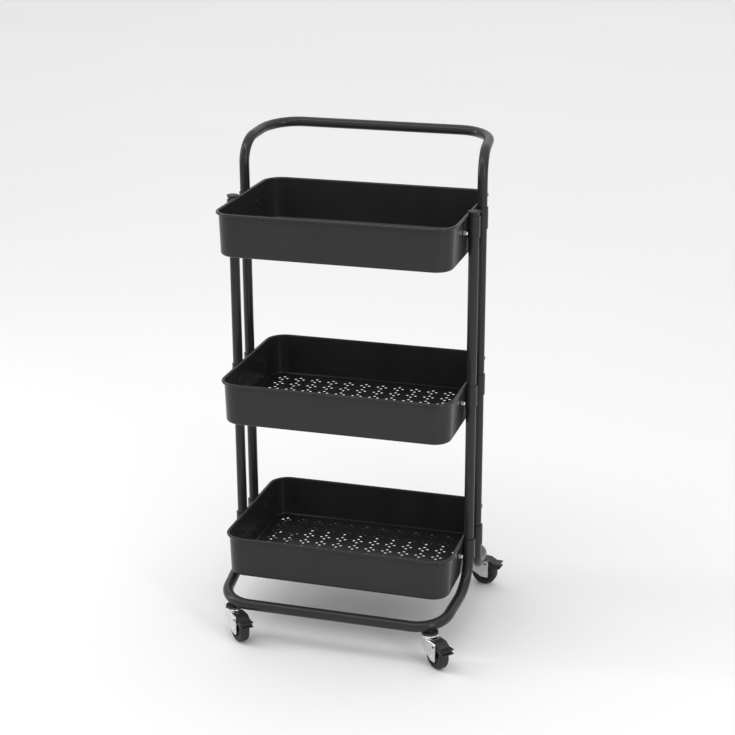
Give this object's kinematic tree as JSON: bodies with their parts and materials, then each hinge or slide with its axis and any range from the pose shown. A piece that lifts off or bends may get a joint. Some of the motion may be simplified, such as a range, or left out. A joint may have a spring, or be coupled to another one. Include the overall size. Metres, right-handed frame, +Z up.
{
  "type": "rolling utility cart",
  "caption": "Tiered rolling utility cart: sheet-metal trays with rolled rims on a bent-tube frame, U push handle, braked swivel casters.",
  "frame": {"origin": "on the floor, midway between the four upright posts", "axes": "+X along the trays' long sides, to the right seen from the front; +Y from the front towards the push handle; +Z up"},
  "size_m": [0.4872, 0.4257, 0.9027],
  "materials": {
    "black_powder_coat": "satin black powder coat with a fine orange-peel grain, on steel sheet and tube",
    "black_plastic": "moulded black polypropylene, fine matt texture",
    "black_rubber": "matt black tread, slightly scuffed",
    "zinc_plate": "bright zinc plating on pressed steel",
    "black_oxide_steel": "blackened steel",
    "bearing_steel": "polished steel balls, lightly greased"
  },
  "bodies": {
    "frame": {"top_tray": "black_powder_coat", "top_bracket_left": "black_powder_coat", "top_bracket_right": "black_powder_coat", "middle_tray": "black_powder_coat", "middle_bracket_left": "black_powder_coat", "middle_bracket_right": "black_powder_coat", "bottom_tray": "black_powder_coat", "bottom_bracket_left": "black_powder_coat", "bottom_bracket_right": "black_powder_coat", "base_hoop_front": "black_powder_coat", "base_hoop_rear": "black_powder_coat", "handle_tube": "black_powder_coat", "lower_post_front_left": "black_powder_coat", "upper_post_front_left": "black_powder_coat", "lower_post_front_right": "black_powder_coat", "upper_post_front_right": "black_powder_coat", "lower_post_rear_left": "black_powder_coat", "upper_post_rear_left": "black_powder_coat", "lower_post_rear_right": "black_powder_coat", "upper_post_rear_right": "black_powder_coat", "post_cap_left": "black_plastic", "post_cap_right": "black_plastic", "post_joiners": "black_plastic", "tray_bolts": "black_oxide_steel", "tray_nuts": "zinc_plate", "handle_screws": "zinc_plate", "caster_inserts": "black_oxide_steel", "swivel_collars": "black_oxide_steel", "swivel_balls": "bearing_steel", "caster_stem_front_left": "zinc_plate", "caster_stem_front_right": "zinc_plate", "caster_stem_rear_left": "zinc_plate", "caster_stem_rear_right": "zinc_plate"},
    "caster_front_left": {"caster_fork_front_left": "zinc_plate", "swivel_race_front_left": "zinc_plate", "axle_front_left": "zinc_plate"},
    "wheel_front_left": {"wheel_hub_front_left": "black_plastic", "wheel_tyre_front_left": "black_rubber"},
    "brake_front_left": {"brake_pedal_front_left": "black_plastic"},
    "caster_front_right": {"caster_fork_front_right": "zinc_plate", "swivel_race_front_right": "zinc_plate", "axle_front_right": "zinc_plate"},
    "wheel_front_right": {"wheel_hub_front_right": "black_plastic", "wheel_tyre_front_right": "black_rubber"},
    "brake_front_right": {"brake_pedal_front_right": "black_plastic"},
    "caster_rear_left": {"caster_fork_rear_left": "zinc_plate", "swivel_race_rear_left": "zinc_plate", "axle_rear_left": "zinc_plate"},
    "wheel_rear_left": {"wheel_hub_rear_left": "black_plastic", "wheel_tyre_rear_left": "black_rubber"},
    "brake_rear_left": {"brake_pedal_rear_left": "black_plastic"},
    "caster_rear_right": {"caster_fork_rear_right": "zinc_plate", "swivel_race_rear_right": "zinc_plate", "axle_rear_right": "zinc_plate"},
    "wheel_rear_right": {"wheel_hub_rear_right": "black_plastic", "wheel_tyre_rear_right": "black_rubber"},
    "brake_rear_right": {"brake_pedal_rear_right": "black_plastic"}
  },
  "joints": [
    {"name": "swivel_front_left", "type": "hinge", "parent": "frame", "child": "caster_front_left", "pos_m": [-0.18588, -0.17875, 0.056], "axis": [0, 0, 1], "continuous": true},
    {"name": "wheel_spin_front_left", "type": "hinge", "parent": "caster_front_left", "child": "wheel_front_left", "pos_m": [-0.16898, -0.19508, 0.025], "axis": [0.6947, 0.7193, 0], "continuous": true},
    {"name": "brake_front_left", "type": "hinge", "parent": "caster_front_left", "child": "brake_front_left", "pos_m": [-0.16538, -0.19855, 0.046], "axis": [0.6947, 0.7193, 0], "range_deg": [0, 12]},
    {"name": "swivel_front_right", "type": "hinge", "parent": "frame", "child": "caster_front_right", "pos_m": [0.18588, -0.17875, 0.056], "axis": [0, 0, 1], "continuous": true},
    {"name": "wheel_spin_front_right", "type": "hinge", "parent": "caster_front_right", "child": "wheel_front_right", "pos_m": [0.20362, -0.19417, 0.025], "axis": [0.6561, 0.7547, 0], "continuous": true},
    {"name": "brake_front_right", "type": "hinge", "parent": "caster_front_right", "child": "brake_front_right", "pos_m": [0.20739, -0.19745, 0.046], "axis": [0.6561, 0.7547, 0], "range_deg": [0, 12]},
    {"name": "swivel_rear_left", "type": "hinge", "parent": "frame", "child": "caster_rear_left", "pos_m": [-0.18703, 0.16084, 0.056], "axis": [0, 0, 1], "continuous": true},
    {"name": "wheel_spin_rear_left", "type": "hinge", "parent": "caster_rear_left", "child": "wheel_rear_left", "pos_m": [-0.20739, 0.17259, 0.025], "axis": [-0.5, -0.866, 0], "continuous": true},
    {"name": "brake_rear_left", "type": "hinge", "parent": "caster_rear_left", "child": "brake_rear_left", "pos_m": [-0.21172, 0.17509, 0.046], "axis": [-0.5, -0.866, 0], "range_deg": [0, 12]},
    {"name": "swivel_rear_right", "type": "hinge", "parent": "frame", "child": "caster_rear_right", "pos_m": [0.18703, 0.16084, 0.056], "axis": [0, 0, 1], "continuous": true},
    {"name": "wheel_spin_rear_right", "type": "hinge", "parent": "caster_rear_right", "child": "wheel_rear_right", "pos_m": [0.21031, 0.15757, 0.025], "axis": [0.1392, 0.9903, 0], "continuous": true},
    {"name": "brake_rear_right", "type": "hinge", "parent": "caster_rear_right", "child": "brake_rear_right", "pos_m": [0.21526, 0.15687, 0.046], "axis": [0.1392, 0.9903, 0], "range_deg": [0, 12]}
  ]
}
